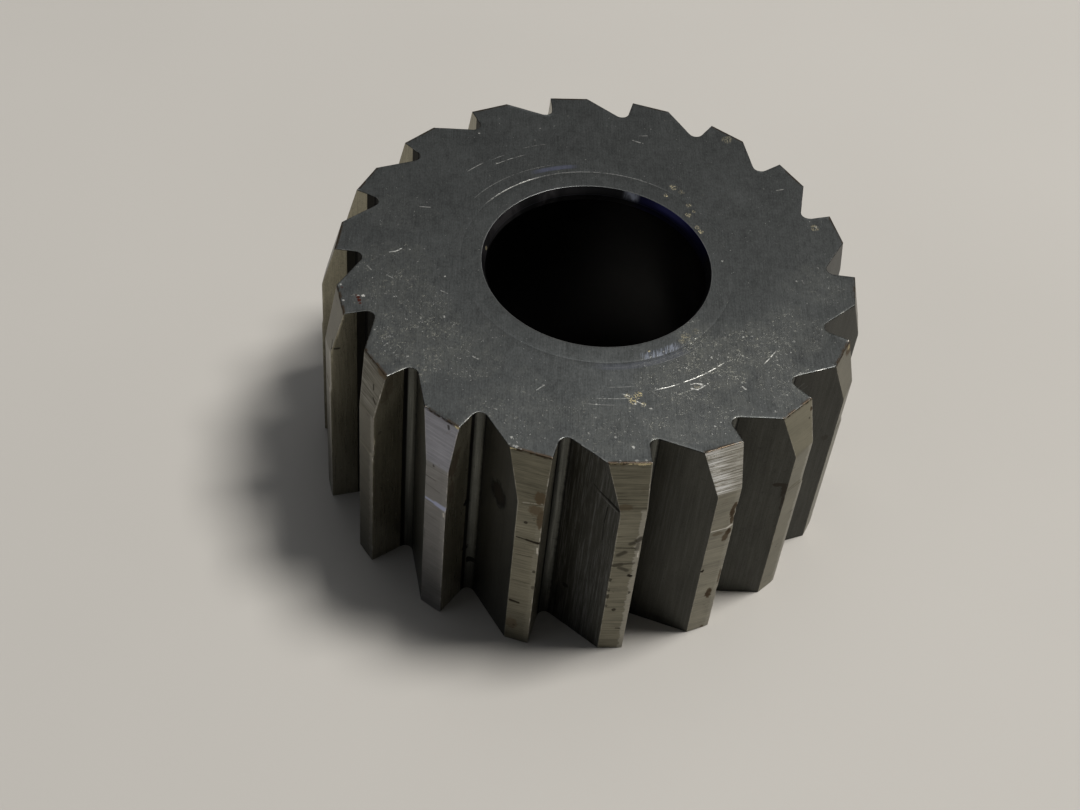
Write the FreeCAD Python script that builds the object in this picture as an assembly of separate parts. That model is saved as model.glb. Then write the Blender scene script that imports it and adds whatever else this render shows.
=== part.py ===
import FreeCAD, Part
import math
import os

# Reamer head that sizes a 42 mm press-fit bottom bracket shell. All sizes are in millimetres.
# The head stands on its drive face. The origin is the centre of that face, and +Z points out of
# the leading face, which enters the shell first. Seen from +Z the teeth cut counter-clockwise.

# Body
cut_diameter = 42.0
head_height = 21.0
bore_diameter = 17.0
bore_chamfer_width = 0.3
bore_chamfer_length = 0.65

# Teeth: straight V gullets, with a ground land between each pair
tooth_count = 18
gullet_depth = 3.2
root_radius = 0.6
rake_lean = 5.0
land_width = 1.8
margin_width = 0.35

# Lands along the axis, from the drive face up: finishing land, step bevel, roughing land, lead
finishing_length = 12.65
step_bevel_length = 0.35
step_drop = 0.08
lead_length = 3.9
lead_drop = 1.04

# Relief angles behind the cutting edge
finishing_relief = 5.5
roughing_relief = 3.0
lead_relief = 6.0

# Ring turned into the leading face, as a fine V groove
ring_from_bore = 1.9
ring_width = 0.16
ring_depth = 0.06

# Two closed slots in the drive face, for the cross pin of the handle
slot_width = 4.0
slot_reach = 4.0
slot_depth = 4.0

# Sizes that follow from the ones above
cut_radius = cut_diameter / 2
rough_radius = cut_radius - step_drop
lead_radius = rough_radius - lead_drop
bore_radius = bore_diameter / 2
bore_mouth_radius = bore_radius + bore_chamfer_width
step_top = finishing_length + step_bevel_length
lead_start = head_height - lead_length
pitch = 2 * math.pi / tooth_count
up = FreeCAD.Vector(0, 0, 1)
centre = FreeCAD.Vector(0, 0, 0)

# Cutters run past the faces that they cut through by this much
overrun = 1.0


def point(radius, angle, z=0.0):
    return FreeCAD.Vector(radius * math.cos(angle), radius * math.sin(angle), z)


def ring_pattern(cutter):
    # One copy of the cutter for each tooth
    copies = []
    for number in range(tooth_count):
        copy = cutter.copy()
        copy.rotate(centre, up, math.degrees(pitch) * number)
        copies.append(copy)
    return copies


def turned(profile):
    # Solid of revolution from (radius, z) corners
    corners = [FreeCAD.Vector(radius, 0, z) for radius, z in profile]
    wire = Part.makePolygon(corners + corners[:1])
    return Part.Face(wire).revolve(centre, up, 360)


def turned_blank():
    # Outside: finishing diameter, step bevel, roughing diameter and lead taper. Inside: the bore,
    # which is chamfered at both ends.
    return turned([
        (bore_mouth_radius, 0),
        (cut_radius, 0),
        (cut_radius, finishing_length),
        (rough_radius, step_top),
        (rough_radius, lead_start),
        (lead_radius, head_height),
        (bore_mouth_radius, head_height),
        (bore_radius, head_height - bore_chamfer_length),
        (bore_radius, bore_chamfer_length),
    ])


def gullet():
    # V gullet ahead of the tooth at angle zero. One flank is the rake face of that tooth: it leaves
    # the cutting edge and leans forward on its way in. The other is the flat back of the next tooth:
    # it runs from that tooth's heel and is tangent to the root fillet.
    edge = point(cut_radius, 0)
    lean = math.radians(rake_lean)
    inward = FreeCAD.Vector(-math.cos(lean), math.sin(lean), 0)
    ahead = FreeCAD.Vector(math.sin(lean), math.cos(lean), 0)
    # The fillet touches the rake face, and its lowest point is at the gullet's depth
    start = edge + ahead * root_radius
    fillet_orbit = cut_radius - gullet_depth + root_radius
    along = start.dot(inward)
    travel = -along - math.sqrt(along ** 2 - start.dot(start) + fillet_orbit ** 2)
    fillet_centre = start + inward * travel
    rake_foot = fillet_centre - ahead * root_radius
    root = fillet_centre * ((fillet_orbit - root_radius) / fillet_orbit)
    # The back is the tangent from the heel to the fillet
    heel = point(cut_radius, pitch - land_width / cut_radius)
    reach = heel - fillet_centre
    turn = math.atan2(reach.y, reach.x) + math.acos(root_radius / reach.Length)
    back_foot = fillet_centre + point(root_radius, turn)
    outward = (heel - back_foot).normalize()
    rake_end = edge - inward * cut_radius
    back_end = heel + outward * cut_radius
    outline = Part.Wire([
        Part.LineSegment(rake_end, rake_foot).toShape(),
        Part.Arc(rake_foot, root, back_foot).toShape(),
        Part.LineSegment(back_foot, back_end).toShape(),
        Part.LineSegment(back_end, rake_end).toShape(),
    ])
    outline.translate(up * -overrun)
    return Part.Face(outline).extrude(up * (head_height + 2 * overrun))


def relief_cut(low, high, margin, relief):
    # What the grinding wheel takes off behind one cutting edge, which runs from low to high, each
    # given as (radius, z). The land starts a margin behind the edge and falls away from the circle
    # by the relief angle.
    radius, z = low
    turn = -margin / radius
    start = point(radius, turn, z)
    fall = point(land_width * 3, turn - math.pi / 2 - math.radians(relief))
    clear = point(cut_radius, turn)
    corners = [start, start + fall, start + fall + clear, start + clear]
    section = Part.Face(Part.makePolygon(corners + corners[:1]))
    return section.extrude(FreeCAD.Vector(high[0] - low[0], 0, high[1] - low[1]))


def land_reliefs():
    finishing = relief_cut((cut_radius, -overrun), (cut_radius, step_top), margin_width, finishing_relief)
    roughing = relief_cut((rough_radius, step_top), (rough_radius, head_height), margin_width, roughing_relief)
    # The lead is ground as one slanted plane, which runs out below where the lead starts
    slope = lead_drop / lead_length
    below = (rough_radius + slope * overrun, lead_start - overrun)
    above = (lead_radius - slope * overrun, head_height + overrun)
    lead = relief_cut(below, above, 0, lead_relief)
    return [finishing, roughing, lead]


def face_ring():
    middle = bore_radius + ring_from_bore
    half = ring_width / 2
    flare = half * overrun / ring_depth
    return turned([
        (middle, head_height - ring_depth),
        (middle + half + flare, head_height + overrun),
        (middle - half - flare, head_height + overrun),
    ])


def drive_slot():
    # One cutter with round ends makes both slots, across the bore
    half_width = slot_width / 2
    half_straight = bore_radius + slot_reach - half_width
    left = [FreeCAD.Vector(-half_straight, side * half_width, -overrun) for side in (1, -1)]
    right = [FreeCAD.Vector(half_straight, side * half_width, -overrun) for side in (1, -1)]
    left_end = FreeCAD.Vector(-half_straight - half_width, 0, -overrun)
    right_end = FreeCAD.Vector(half_straight + half_width, 0, -overrun)
    outline = Part.Wire([
        Part.LineSegment(left[0], right[0]).toShape(),
        Part.Arc(right[0], right_end, right[1]).toShape(),
        Part.LineSegment(right[1], left[1]).toShape(),
        Part.Arc(left[1], left_end, left[0]).toShape(),
    ])
    return Part.Face(outline).extrude(up * (slot_depth + overrun))


def reamer_head():
    head = turned_blank()
    head = head.cut(ring_pattern(gullet()))
    for land in land_reliefs():
        head = head.cut(ring_pattern(land))
    head = head.cut(face_ring())
    head = head.cut(drive_slot())
    return head.removeSplitter()


os.makedirs("parts", exist_ok=True)
head = reamer_head()
head.exportStep("parts/reamer_head.step")
print("reamer_head valid", head.isValid(), "solids", len(head.Solids), "faces", len(head.Faces))
print("volume", round(head.Volume, 1), "box", head.BoundBox)
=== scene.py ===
import math
import bpy
import numpy as np
from mathutils import Matrix, Vector


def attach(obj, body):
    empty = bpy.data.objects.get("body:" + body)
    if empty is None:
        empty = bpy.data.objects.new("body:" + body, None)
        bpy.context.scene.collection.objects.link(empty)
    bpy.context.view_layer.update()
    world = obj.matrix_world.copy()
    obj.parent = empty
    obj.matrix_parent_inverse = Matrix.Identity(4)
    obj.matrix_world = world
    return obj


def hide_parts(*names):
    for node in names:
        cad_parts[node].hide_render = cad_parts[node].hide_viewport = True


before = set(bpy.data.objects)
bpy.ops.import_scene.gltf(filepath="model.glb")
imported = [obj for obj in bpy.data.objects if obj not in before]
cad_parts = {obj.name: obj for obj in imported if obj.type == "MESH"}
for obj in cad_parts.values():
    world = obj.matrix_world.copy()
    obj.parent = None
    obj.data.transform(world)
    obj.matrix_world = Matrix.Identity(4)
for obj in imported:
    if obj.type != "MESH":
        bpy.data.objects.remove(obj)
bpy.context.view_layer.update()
scene = bpy.context.scene
mm = 0.001


# The camera looks down at the head from the front. Places are in millimetres.
cameraSetup = {
    "place": (-10.612, -96.15, 112.167),
    "right": (0.99726, 0.00499, 0.07385),
    "up": (-0.05282, 0.74692, 0.66282),
    "lens": 58.012,
    "sensor": 36.0,
}


def addCamera():
    right = Vector(cameraSetup["right"]).normalized()
    up = Vector(cameraSetup["up"]).normalized()
    turn = Matrix((right, up, right.cross(up))).transposed()
    data = bpy.data.cameras.new("photoCamera")
    data.lens = cameraSetup["lens"]
    data.sensor_width = cameraSetup["sensor"]
    data.clip_start = 0.005
    camera = bpy.data.objects.new("photoCamera", data)
    camera.matrix_world = Matrix.Translation(Vector(cameraSetup["place"]) * mm) @ turn.to_4x4()
    scene.collection.objects.link(camera)
    scene.camera = camera


addCamera()
print("camera placed")


# Node helpers. They add to the tree that was started last. A socket is linked, anything else is a value.
building = {}


def link(start, end):
    building["tree"].links.new(start, end)


def addNode(kind, sockets=(), **settings):
    made = building["tree"].nodes.new("ShaderNode" + kind)
    for name, value in settings.items():
        setattr(made, name, value)
    for place, value in dict(sockets).items():
        if isinstance(value, bpy.types.NodeSocket):
            link(value, made.inputs[place])
        else:
            made.inputs[place].default_value = value
    return made


def calc(operation, *values):
    return addNode("Math", dict(enumerate(values)), operation=operation).outputs[0]


def linear(value, factor, offset):
    return calc("MULTIPLY_ADD", value, factor, offset)


def vectorCalc(operation, *values, output=0):
    return addNode("VectorMath", dict(enumerate(values)), operation=operation).outputs[output]


def ramp(value, low, high, atLow=0.0, atHigh=1.0):
    # smooth change from atLow to atHigh as the value goes from low to high
    sockets = {0: value, 1: low, 2: high, 3: atLow, 4: atHigh}
    return addNode("MapRange", sockets, interpolation_type="SMOOTHSTEP").outputs[0]


def fade(value, low, high):
    return ramp(value, low, high, 1.0, 0.0)


def mixValue(amount, first, second):
    return addNode("Mix", {0: amount, 2: first, 3: second}).outputs[0]


def mixColour(amount, first, second):
    return addNode("Mix", {0: amount, 6: first, 7: second}, data_type="RGBA").outputs[2]


def paint(colour, over, amount):
    # a plain colour laid over another
    return mixColour(amount, colour, (*over, 1))


def layered(colour, look, **amounts):
    # the look's colours laid over each other, in the order that they are given
    for name, amount in amounts.items():
        colour = paint(colour, look[name], amount)
    return colour


def scaled(vector, amount):
    return addNode("VectorMath", {0: vector, 3: amount}, operation="SCALE").outputs[0]


def axesOf(vector):
    return addNode("SeparateXYZ", {0: vector}).outputs


def joined(x=0.0, y=0.0, z=0.0):
    return addNode("CombineXYZ", {0: x, 1: y, 2: z}).outputs[0]


def noiseAt(where, perMm, detail=2.0, rough=0.5, shift=0.0):
    place = addNode("Mapping", {0: where, 1: (shift, shift * 0.7, shift * 1.3), 3: perMm}).outputs[0]
    sockets = {"Vector": place, "Scale": 1.0, "Detail": detail, "Roughness": rough}
    return addNode("TexNoise", sockets).outputs[0]


def patches(where, perMm, low, high, shift=0.0):
    # uneven patches: 0 where a noise is under low, 1 where it is over high
    return ramp(noiseAt(where, (perMm,) * 3, 3, 0.65, shift), low, high)


def most(*values):
    total = values[0]
    for value in values[1:]:
        total = calc("MAXIMUM", total, value)
    return total


def times(*values):
    total = values[0]
    for value in values[1:]:
        total = calc("MULTIPLY", total, value)
    return total


def newGroup(name, inputs, output):
    group = bpy.data.node_groups.new(name, "ShaderNodeTree")
    building["tree"] = group
    for label, kind in inputs:
        group.interface.new_socket(label, in_out="INPUT", socket_type="NodeSocket" + kind)
    group.interface.new_socket(output, in_out="OUTPUT", socket_type="NodeSocketFloat")
    start = group.nodes.new("NodeGroupInput")
    end = group.nodes.new("NodeGroupOutput")
    return group, start.outputs, end.inputs[0]


def thinLineGroup():
    group, given, result = newGroup("thinLine", [
        ("Where", "Vector"), ("Start", "Vector"), ("Run", "Vector"),
        ("Width", "Float"), ("Strength", "Float"), ("Before", "Float")], "Mask")
    reach = vectorCalc("SUBTRACT", given["Where"], given["Start"])
    along = calc("DIVIDE",
                 vectorCalc("DOT_PRODUCT", reach, given["Run"], output=1),
                 vectorCalc("DOT_PRODUCT", given["Run"], given["Run"], output=1))
    along = addNode("Clamp", {0: along}).outputs[0]
    nearest = scaled(given["Run"], along)
    away = vectorCalc("LENGTH", vectorCalc("SUBTRACT", reach, nearest), output=1)
    mask = fade(calc("DIVIDE", away, given["Width"]), 0.2, 0.6)
    mask = times(mask, given["Strength"])
    link(most(mask, given["Before"]), result)
    return group


def spotGroup():
    group, given, result = newGroup("spot", [
        ("Where", "Vector"), ("Centre", "Vector"), ("Size", "Vector"),
        ("Ragged", "Float"), ("Strength", "Float"), ("Before", "Float")], "Mask")
    reach = vectorCalc("DIVIDE",
                       vectorCalc("SUBTRACT", given["Where"], given["Centre"]), given["Size"])
    away = calc("ADD", vectorCalc("LENGTH", reach, output=1), given["Ragged"])
    mask = times(fade(away, 0.6, 1.0), given["Strength"])
    link(most(mask, given["Before"]), result)
    return group


markGroups = {"line": thinLineGroup(), "spot": spotGroup()}


def markChain(kind, where, marks, **shared):
    # one group for each mark, which passes the strongest mark so far on to the next
    for sockets in marks:
        made = addNode("Group", {"Where": where, **sockets, **shared}, node_tree=markGroups[kind])
        shared["Before"] = made.outputs[0]
    return shared["Before"]


def lineMarks(where, marks):
    # marks: start, end, width and strength of each, in millimetres
    return markChain("line", where, [
        {"Start": start, "Run": Vector(end) - Vector(start), "Width": width, "Strength": strength}
        for start, end, width, strength in marks])


def spotMarks(where, ragged, marks):
    # marks: centre, size and strength of each, in millimetres
    return markChain("spot", where, [
        {"Centre": centre, "Size": size, "Strength": strength} for centre, size, strength in marks],
        Ragged=ragged)


def attribute(name):
    return addNode("Attribute", attribute_name=name).outputs["Fac"]


def attributes(*names):
    return [attribute(name) for name in names]


def startFinish(name):
    material = bpy.data.materials.new(name)
    material.use_nodes = True
    building["tree"] = material.node_tree
    building["tree"].nodes.clear()
    place = addNode("TexCoord").outputs["Object"]
    return material, scaled(place, 1 / mm)


def endFinish(colour, roughness, height, depth, metallic, specular=0.5):
    # depth is the bump's full height in millimetres
    bump = addNode("Bump", {"Strength": 1.0, "Distance": depth * mm, "Height": height})
    shader = addNode("BsdfPrincipled", {
        "Base Color": colour, "Metallic": metallic, "Roughness": roughness,
        "Specular IOR Level": specular, "Normal": bump.outputs[0]})
    addNode("OutputMaterial", {0: shader.outputs[0]})
    return shader


# The reamer head, in millimetres and degrees. It stands on its drive face, with the leading face up.
head = {
    "cutRadius": 21.0, "height": 21.0, "faceLevel": 20.97, "teeth": 18,
    "boreRadius": 8.5, "boreMouth": 8.8, "chamferLength": 0.65,
    "gulletDepth": 3.2, "rootRadius": 0.6, "rakeLean": 5.0, "landWidth": 1.8, "margin": 0.35,
    "finishingTop": 12.65, "stepTop": 13.0, "stepDrop": 0.08, "leadStart": 17.1, "leadDrop": 1.04,
    "finishingRelief": 5.5, "roughingRelief": 3.0, "leadRelief": 6.0,
    "faceRing": 10.4, "ringHalfWidth": 0.08, "ringDepth": 0.006,
    "slotWidth": 4.0, "slotReach": 12.5, "slotDepth": 4.0, "slotFlare": 0.15,
    "edgeRound": 0.028, "heelRound": 0.04, "rimRound": 0.05, "baseRound": 0.03,
    "blendRadius": 16.4, "burrHeight": 0.03, "flatInset": 0.25,
    "sharpAngle": 42, "nickSeed": 140, "burrSeed": 7, "lookSeed": 3,
}
pitch = 2 * math.pi / head["teeth"]


def turned(points, angle):
    cos, sin = np.cos(angle), np.sin(angle)
    x, y = points[..., 0], points[..., 1]
    return np.stack([x * cos - y * sin, x * sin + y * cos], -1)


def gulletShape():
    # The V gullet ahead of the tooth at angle zero: its rake face, root fillet, and the next tooth's back
    radius, fillet = head["cutRadius"], head["rootRadius"]
    lean = math.radians(head["rakeLean"])
    inward = np.array([-math.cos(lean), math.sin(lean)])
    ahead = np.array([math.sin(lean), math.cos(lean)])
    start = np.array([radius, 0.0]) + ahead * fillet
    orbit = radius - head["gulletDepth"] + fillet
    along = start @ inward
    centre = start + inward * (-along - math.sqrt(along ** 2 - start @ start + orbit ** 2))
    heelAngle = pitch - head["landWidth"] / radius
    heel = radius * np.array([math.cos(heelAngle), math.sin(heelAngle)])
    reach = heel - centre
    turn = math.atan2(reach[1], reach[0]) + math.acos(fillet / np.linalg.norm(reach))
    footSide = np.array([math.cos(turn), math.sin(turn)])
    outward = heel - (centre + fillet * footSide)
    return {
        "inward": inward, "ahead": ahead, "centre": centre,
        "firstAngle": math.atan2(-ahead[1], -ahead[0]), "lastAngle": turn - 2 * math.pi,
        "heel": turned(heel, -pitch), "outward": turned(outward / np.linalg.norm(outward), -pitch),
        "backSide": turned(footSide, -pitch),
    }


gullet = gulletShape()


def landReach(y, z):
    # how far out the ground land lies, y millimetres across the tooth from its cutting edge
    def ground(radius, relief):
        turn = head["margin"] / radius
        slope = math.tan(turn + math.radians(relief))
        plane = radius * math.cos(turn) + (radius * math.sin(turn) + y) * slope
        return np.minimum(np.sqrt(radius ** 2 - y ** 2), plane)

    roughRadius = head["cutRadius"] - head["stepDrop"]
    climb = np.clip((z - head["finishingTop"]) / (head["stepTop"] - head["finishingTop"]), 0, 1)
    cone = np.sqrt((head["cutRadius"] - head["stepDrop"] * climb) ** 2 - y ** 2)
    finishing = np.minimum(ground(head["cutRadius"], head["finishingRelief"]), cone)
    body = np.where(z < head["stepTop"], finishing, ground(roughRadius, head["roughingRelief"]))
    slope = head["leadDrop"] / (head["height"] - head["leadStart"])
    lead = roughRadius - slope * (z - head["leadStart"]) + y * math.tan(math.radians(head["leadRelief"]))
    soft = 0.008
    return -soft * np.logaddexp(-body / soft, -lead / soft)


def unit(vectors):
    return vectors / np.linalg.norm(vectors, axis=-1, keepdims=True)


def roundedCorner(corner, before, after, radius, chip, count):
    # points round a corner, whose two sides leave it along before and after
    middle = unit(before + after)
    half = np.arccos(np.clip((before * after).sum(-1), -1, 1)) / 2
    centre = corner + middle * (radius / np.sin(half))[..., None]
    reach = (radius / np.tan(half))[..., None]
    first = corner + before * reach - centre
    last = corner + after * reach - centre
    angle = (math.pi - 2 * half)[..., None, None]
    share = np.linspace(0, 1, count)[:, None]
    arc = np.sin((1 - share) * angle) * first[..., None, :] + np.sin(share * angle) * last[..., None, :]
    bite = np.sin(share * math.pi) * chip[..., None, None] * middle[..., None, :]
    return centre[..., None, :] + arc / np.sin(angle) + bite


# Where the columns of vertices stand across one tooth
columns = {
    "heel": 4,
    "land": (0.1, 0.28, 0.5, 0.72, 0.9, 1.0),
    "margin": (0.5,),
    "edge": 5,
    "rake": (0.08, 0.3, 0.6, 0.88),
    "root": 8,
    "back": (0.04, 0.16, 0.38, 0.62, 0.84, 0.96),
}


def toothRegions():
    # the finish of the face that starts at each column
    counts = [("land", columns["heel"] + len(columns["land"]) + len(columns["margin"]) + columns["edge"] - 1),
              ("rake", len(columns["rake"]) + 1), ("root", columns["root"] - 1),
              ("back", len(columns["back"]) + 1)]
    return [name for name, count in counts for _ in range(count)]


def outlineRings(z, inset, edgeRound, heelRound, edgeChip, heelChip):
    # Outline of the toothed body at each height z, moved into the steel by inset. The rounding and the
    # chips are given for each tooth and ring. Gives (tooth, ring, column, 2) and the distances in mm
    # from the cutting edge, the heel and the foot of the flank.
    radius = head["cutRadius"]
    inward, ahead, outward = gullet["inward"], gullet["ahead"], gullet["outward"]

    def land(y):
        return landReach(y, z) - inset

    def onRake(x):
        along = (radius - ahead[0] * inset - x) / -inward[0]
        return -ahead[1] * inset + inward[1] * along

    def onBack(x):
        start = gullet["heel"][:, None] + gullet["backSide"][:, None] * inset
        return start[1] + outward[1] * (x - start[0]) / outward[0]

    edgeY = np.zeros_like(z)
    heelY = np.full_like(z, gullet["heel"][1])
    for _ in range(12):
        edgeY = onRake(land(edgeY))
        heelY = onBack(land(heelY))
    edge = np.stack([land(edgeY), edgeY], -1)
    heel = np.stack([land(heelY), heelY], -1)
    small = 0.02
    fromEdge = unit(np.stack([land(edgeY - small), edgeY - small], -1) - edge)
    fromHeel = unit(np.stack([land(heelY + small), heelY + small], -1) - heel)
    shape = edgeRound.shape + (2,)
    edgeArc = roundedCorner(np.broadcast_to(edge, shape), np.broadcast_to(fromEdge, shape),
                            np.broadcast_to(inward, shape), edgeRound, edgeChip, columns["edge"])
    heelArc = roundedCorner(np.broadcast_to(heel, shape), np.broadcast_to(-outward, shape),
                            np.broadcast_to(fromHeel, shape), heelRound, heelChip, columns["heel"])
    # The land, from the heel to the margin and on to the cutting edge
    heelEnd, edgeStart = heelArc[..., -1, 1], edgeArc[..., 0, 1]
    marginLine = np.minimum(-head["margin"], edgeStart - 0.05)
    landY = [heelEnd + (marginLine - heelEnd) * share for share in columns["land"]]
    landY += [marginLine + (edgeStart - marginLine) * share for share in columns["margin"]]
    landPoints = np.stack([np.stack([land(y), y], -1) for y in landY], -2)
    # The root fillet, and the straight flanks on its two sides
    turns = np.linspace(gullet["firstAngle"], gullet["lastAngle"], columns["root"])
    fillet = np.stack([np.cos(turns), np.sin(turns)], -1) * (head["rootRadius"] + inset)[:, None, None]
    fillet = np.broadcast_to(gullet["centre"] + fillet, shape[:2] + (columns["root"], 2))
    edgeEnd = edgeArc[..., -1:, :]
    share = np.array(columns["rake"])[:, None]
    rake = edgeEnd + (fillet[..., :1, :] - edgeEnd) * share
    nextHeel = turned(np.roll(heelArc[..., :1, :], -1, 0), pitch)
    share = np.array(columns["back"])[:, None]
    back = fillet[..., -1:, :] + (nextHeel - fillet[..., -1:, :]) * share
    points = np.concatenate([heelArc, landPoints, edgeArc, rake, fillet, back], -2)
    # Distances from the two long edges
    rakeTail = np.concatenate([rake, fillet], -2) - edgeEnd
    backTail = np.concatenate([fillet, back], -2) - nextHeel
    landSpan = np.clip(edgeStart[..., None] - landPoints[..., 1], 0, None)
    width = (edgeStart - heelEnd)[..., None]
    ones = np.ones(points.shape[:2] + (1,))
    far = 3.0
    fromCut = np.concatenate([
        np.broadcast_to(width, heelArc.shape[:-1]), landSpan, np.zeros(edgeArc.shape[:-1]),
        np.linalg.norm(rakeTail, axis=-1), ones * far * np.ones(len(columns["back"]))], -1)
    backGap = np.linalg.norm(backTail, axis=-1)
    rakeFoot, backFoot = fillet[..., :1, :], fillet[..., -1:, :]
    fromFoot = np.concatenate([np.linalg.norm(part, axis=-1) for part in (
        heelArc - turned(backFoot, -pitch), 0 * landPoints, edgeArc - rakeFoot, rake - rakeFoot, 0 * fillet,
        back - backFoot)], -1)
    fromHeel = np.concatenate([
        np.zeros(heelArc.shape[:-1]), width - landSpan, np.broadcast_to(width, edgeArc.shape[:-1]),
        ones * far * np.ones(len(columns["rake"])), backGap], -1)
    return points, fromCut, fromHeel, fromFoot


def nickProfile(heights, rng, count, depth, width):
    # a few small bites at random heights along one edge
    total = np.zeros_like(heights)
    for _ in range(count):
        place = rng.uniform(0.3, head["height"] - 0.2)
        reach = rng.uniform(*width)
        total += rng.uniform(*depth) * np.exp(-((heights - place) / reach) ** 2)
    return total


def sideHeights():
    # heights of the rings down the side, closer together where the land changes
    top = head["faceLevel"] - head["rimRound"]
    spans = [(top, 20.3, 5), (20.3, 17.3, 13), (17.3, 16.9, 6), (16.9, 13.08, 16), (13.08, 13.0, 2),
             (12.99, 12.6, 6), (12.6, 0.25, 38), (0.25, head["baseRound"], 2)]
    heights = []
    for start, end, count in spans:
        heights += list(np.linspace(start, end, count, endpoint=False))
    return heights + [head["baseRound"]]


# Bites that the photograph shows: tooth, edge, height, depth and half height
namedNicks = [
    (14, "heel", 8.7, 0.07, 0.22), (14, "heel", 7.6, 0.05, 0.18), (14, "heel", 6.6, 0.05, 0.15),
    (14, "heel", 3.9, 0.04, 0.15), (15, "edge", 14.7, 0.10, 0.35), (15, "edge", 13.7, 0.09, 0.30),
    (15, "edge", 4.6, 0.06, 0.25), (15, "heel", 8.1, 0.05, 0.15), (16, "edge", 12.75, 0.06, 0.12),
    (11, "edge", 12.7, 0.08, 0.12), (11, "edge", 13.2, 0.05, 0.10), (13, "edge", 17.4, 0.05, 0.2),
    (12, "edge", 20.7, 0.06, 0.15), (14, "edge", 19.1, 0.05, 0.12), (16, "heel", 12.6, 0.05, 0.3),
    (10, "heel", 17.0, 0.06, 0.2), (17, "edge", 6.0, 0.05, 0.2), (0, "edge", 9.5, 0.07, 0.2),
]


# Random wear along each tooth: how many bites, and the least and most of their depth and reach
edgeWear = {
    "edgeChip": (9, (0.005, 0.03), (0.08, 0.3)), "edgeRound": (4, (0.0, 0.02), (0.6, 2.0)),
    "heelChip": (8, (0.005, 0.035), (0.08, 0.3)), "heelRound": (4, (0.0, 0.03), (0.6, 2.0)),
}
chipShare = 0.6    # of a named bite

finishNames = ("face", "land", "rake", "root", "back", "chamfer", "bore", "base")


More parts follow.
